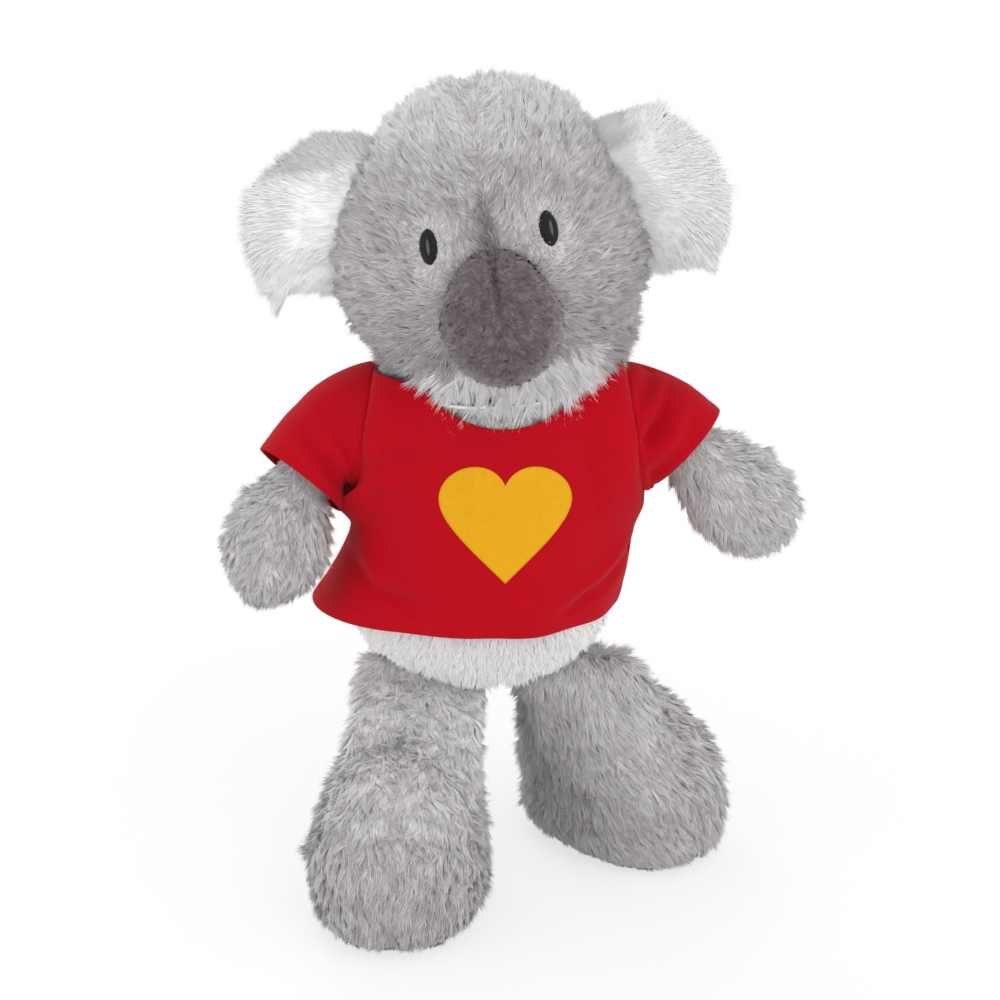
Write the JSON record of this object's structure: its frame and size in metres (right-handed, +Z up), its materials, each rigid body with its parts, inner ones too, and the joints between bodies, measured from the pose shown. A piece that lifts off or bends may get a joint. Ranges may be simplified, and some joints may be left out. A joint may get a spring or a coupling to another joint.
{
  "type": "plush koala toy",
  "caption": "Standing stuffed koala in a jersey T-shirt with a plain heart; round head, egg-shaped nose, fluffy ears, paw arms and big boot-shaped feet that swing at the seams.",
  "frame": {"origin": "on the surface it stands on, under the middle of its bounding box", "axes": "+Z up, the face looks along -Y, the toy's own left is +X"},
  "size_m": [0.1834, 0.1356, 0.2528],
  "materials": {
    "grey_plush": "long-pile plush in uneven tufts",
    "white_plush": "long fluffy plush",
    "red_jersey": "fine matt knitted jersey",
    "yellow_print": "thin smooth textile print",
    "mauve_velour": "short-nap velour",
    "black_thread": "satin-stitched embroidery thread",
    "grey_thread": "satin-stitched embroidery thread",
    "fibre_fill": "loose polyester fibre",
    "seam_cloth": "plush cloth gathered into a seam"
  },
  "bodies": {
    "torso": {"torso_back_panel": "grey_plush", "torso_belly_panel": "white_plush", "torso_stuffing": "fibre_fill", "shirt_front": "red_jersey", "shirt_back": "red_jersey", "heart_print": "yellow_print"},
    "neck_band": {"neck_seam_band": "seam_cloth"},
    "head": {"head_left_panel": "grey_plush", "head_right_panel": "grey_plush", "chin_panel": "white_plush", "head_stuffing": "fibre_fill", "nose_cover": "mauve_velour", "nose_stuffing": "fibre_fill", "eye_left": "black_thread", "eye_right": "black_thread", "eye_glint_left": "grey_thread", "eye_glint_right": "grey_thread"},
    "ear_left": {"ear_left_back": "grey_plush", "ear_left_front": "white_plush"},
    "ear_right": {"ear_right_back": "grey_plush", "ear_right_front": "white_plush"},
    "arm_left": {"arm_left_front_panel": "grey_plush", "arm_left_back_panel": "grey_plush", "arm_left_stuffing": "fibre_fill", "sleeve_left": "red_jersey"},
    "arm_right": {"arm_right_front_panel": "grey_plush", "arm_right_back_panel": "grey_plush", "arm_right_stuffing": "fibre_fill", "sleeve_right": "red_jersey"},
    "leg_left": {"leg_left_inner_panel": "grey_plush", "leg_left_outer_panel": "grey_plush", "leg_left_sole": "grey_plush", "leg_left_stuffing": "fibre_fill"},
    "leg_right": {"leg_right_inner_panel": "grey_plush", "leg_right_outer_panel": "grey_plush", "leg_right_sole": "grey_plush", "leg_right_stuffing": "fibre_fill"}
  },
  "joints": [
    {"name": "neck_turn", "type": "hinge", "parent": "torso", "child": "neck_band", "pos_m": [-0.00475, 0.01558, 0.201], "axis": [0, 0, 1], "range_deg": [-30, 30]},
    {"name": "head_nod", "type": "hinge", "parent": "neck_band", "child": "head", "pos_m": [-0.00475, 0.01558, 0.201], "axis": [-1, 0, 0], "range_deg": [-10, 15]},
    {"name": "arm_left_swing", "type": "hinge", "parent": "torso", "child": "arm_left", "pos_m": [0.03955, 0.01058, 0.145], "axis": [-0.9848, 0, -0.1736], "range_deg": [-25, 80]},
    {"name": "arm_right_swing", "type": "hinge", "parent": "torso", "child": "arm_right", "pos_m": [-0.04605, 0.01058, 0.145], "axis": [-0.9848, 0, 0.1736], "range_deg": [0, 70]},
    {"name": "leg_left_swing", "type": "hinge", "parent": "torso", "child": "leg_left", "pos_m": [0.02175, 0.00258, 0.064], "axis": [-1, 0, 0], "range_deg": [-20, 90]},
    {"name": "leg_right_swing", "type": "hinge", "parent": "torso", "child": "leg_right", "pos_m": [-0.02825, 0.00258, 0.064], "axis": [-1, 0, 0], "range_deg": [-60, 50]},
    {"name": "ear_left_fold", "type": "hinge", "parent": "head", "child": "ear_left", "pos_m": [0.04417, 0.00022, 0.22278], "axis": [-0.4067, 0, 0.9135], "range_deg": [-20, 20]},
    {"name": "ear_right_fold", "type": "hinge", "parent": "head", "child": "ear_right", "pos_m": [-0.05827, 0.00783, 0.21434], "axis": [0.2419, 0, 0.9703], "range_deg": [-20, 20]}
  ]
}
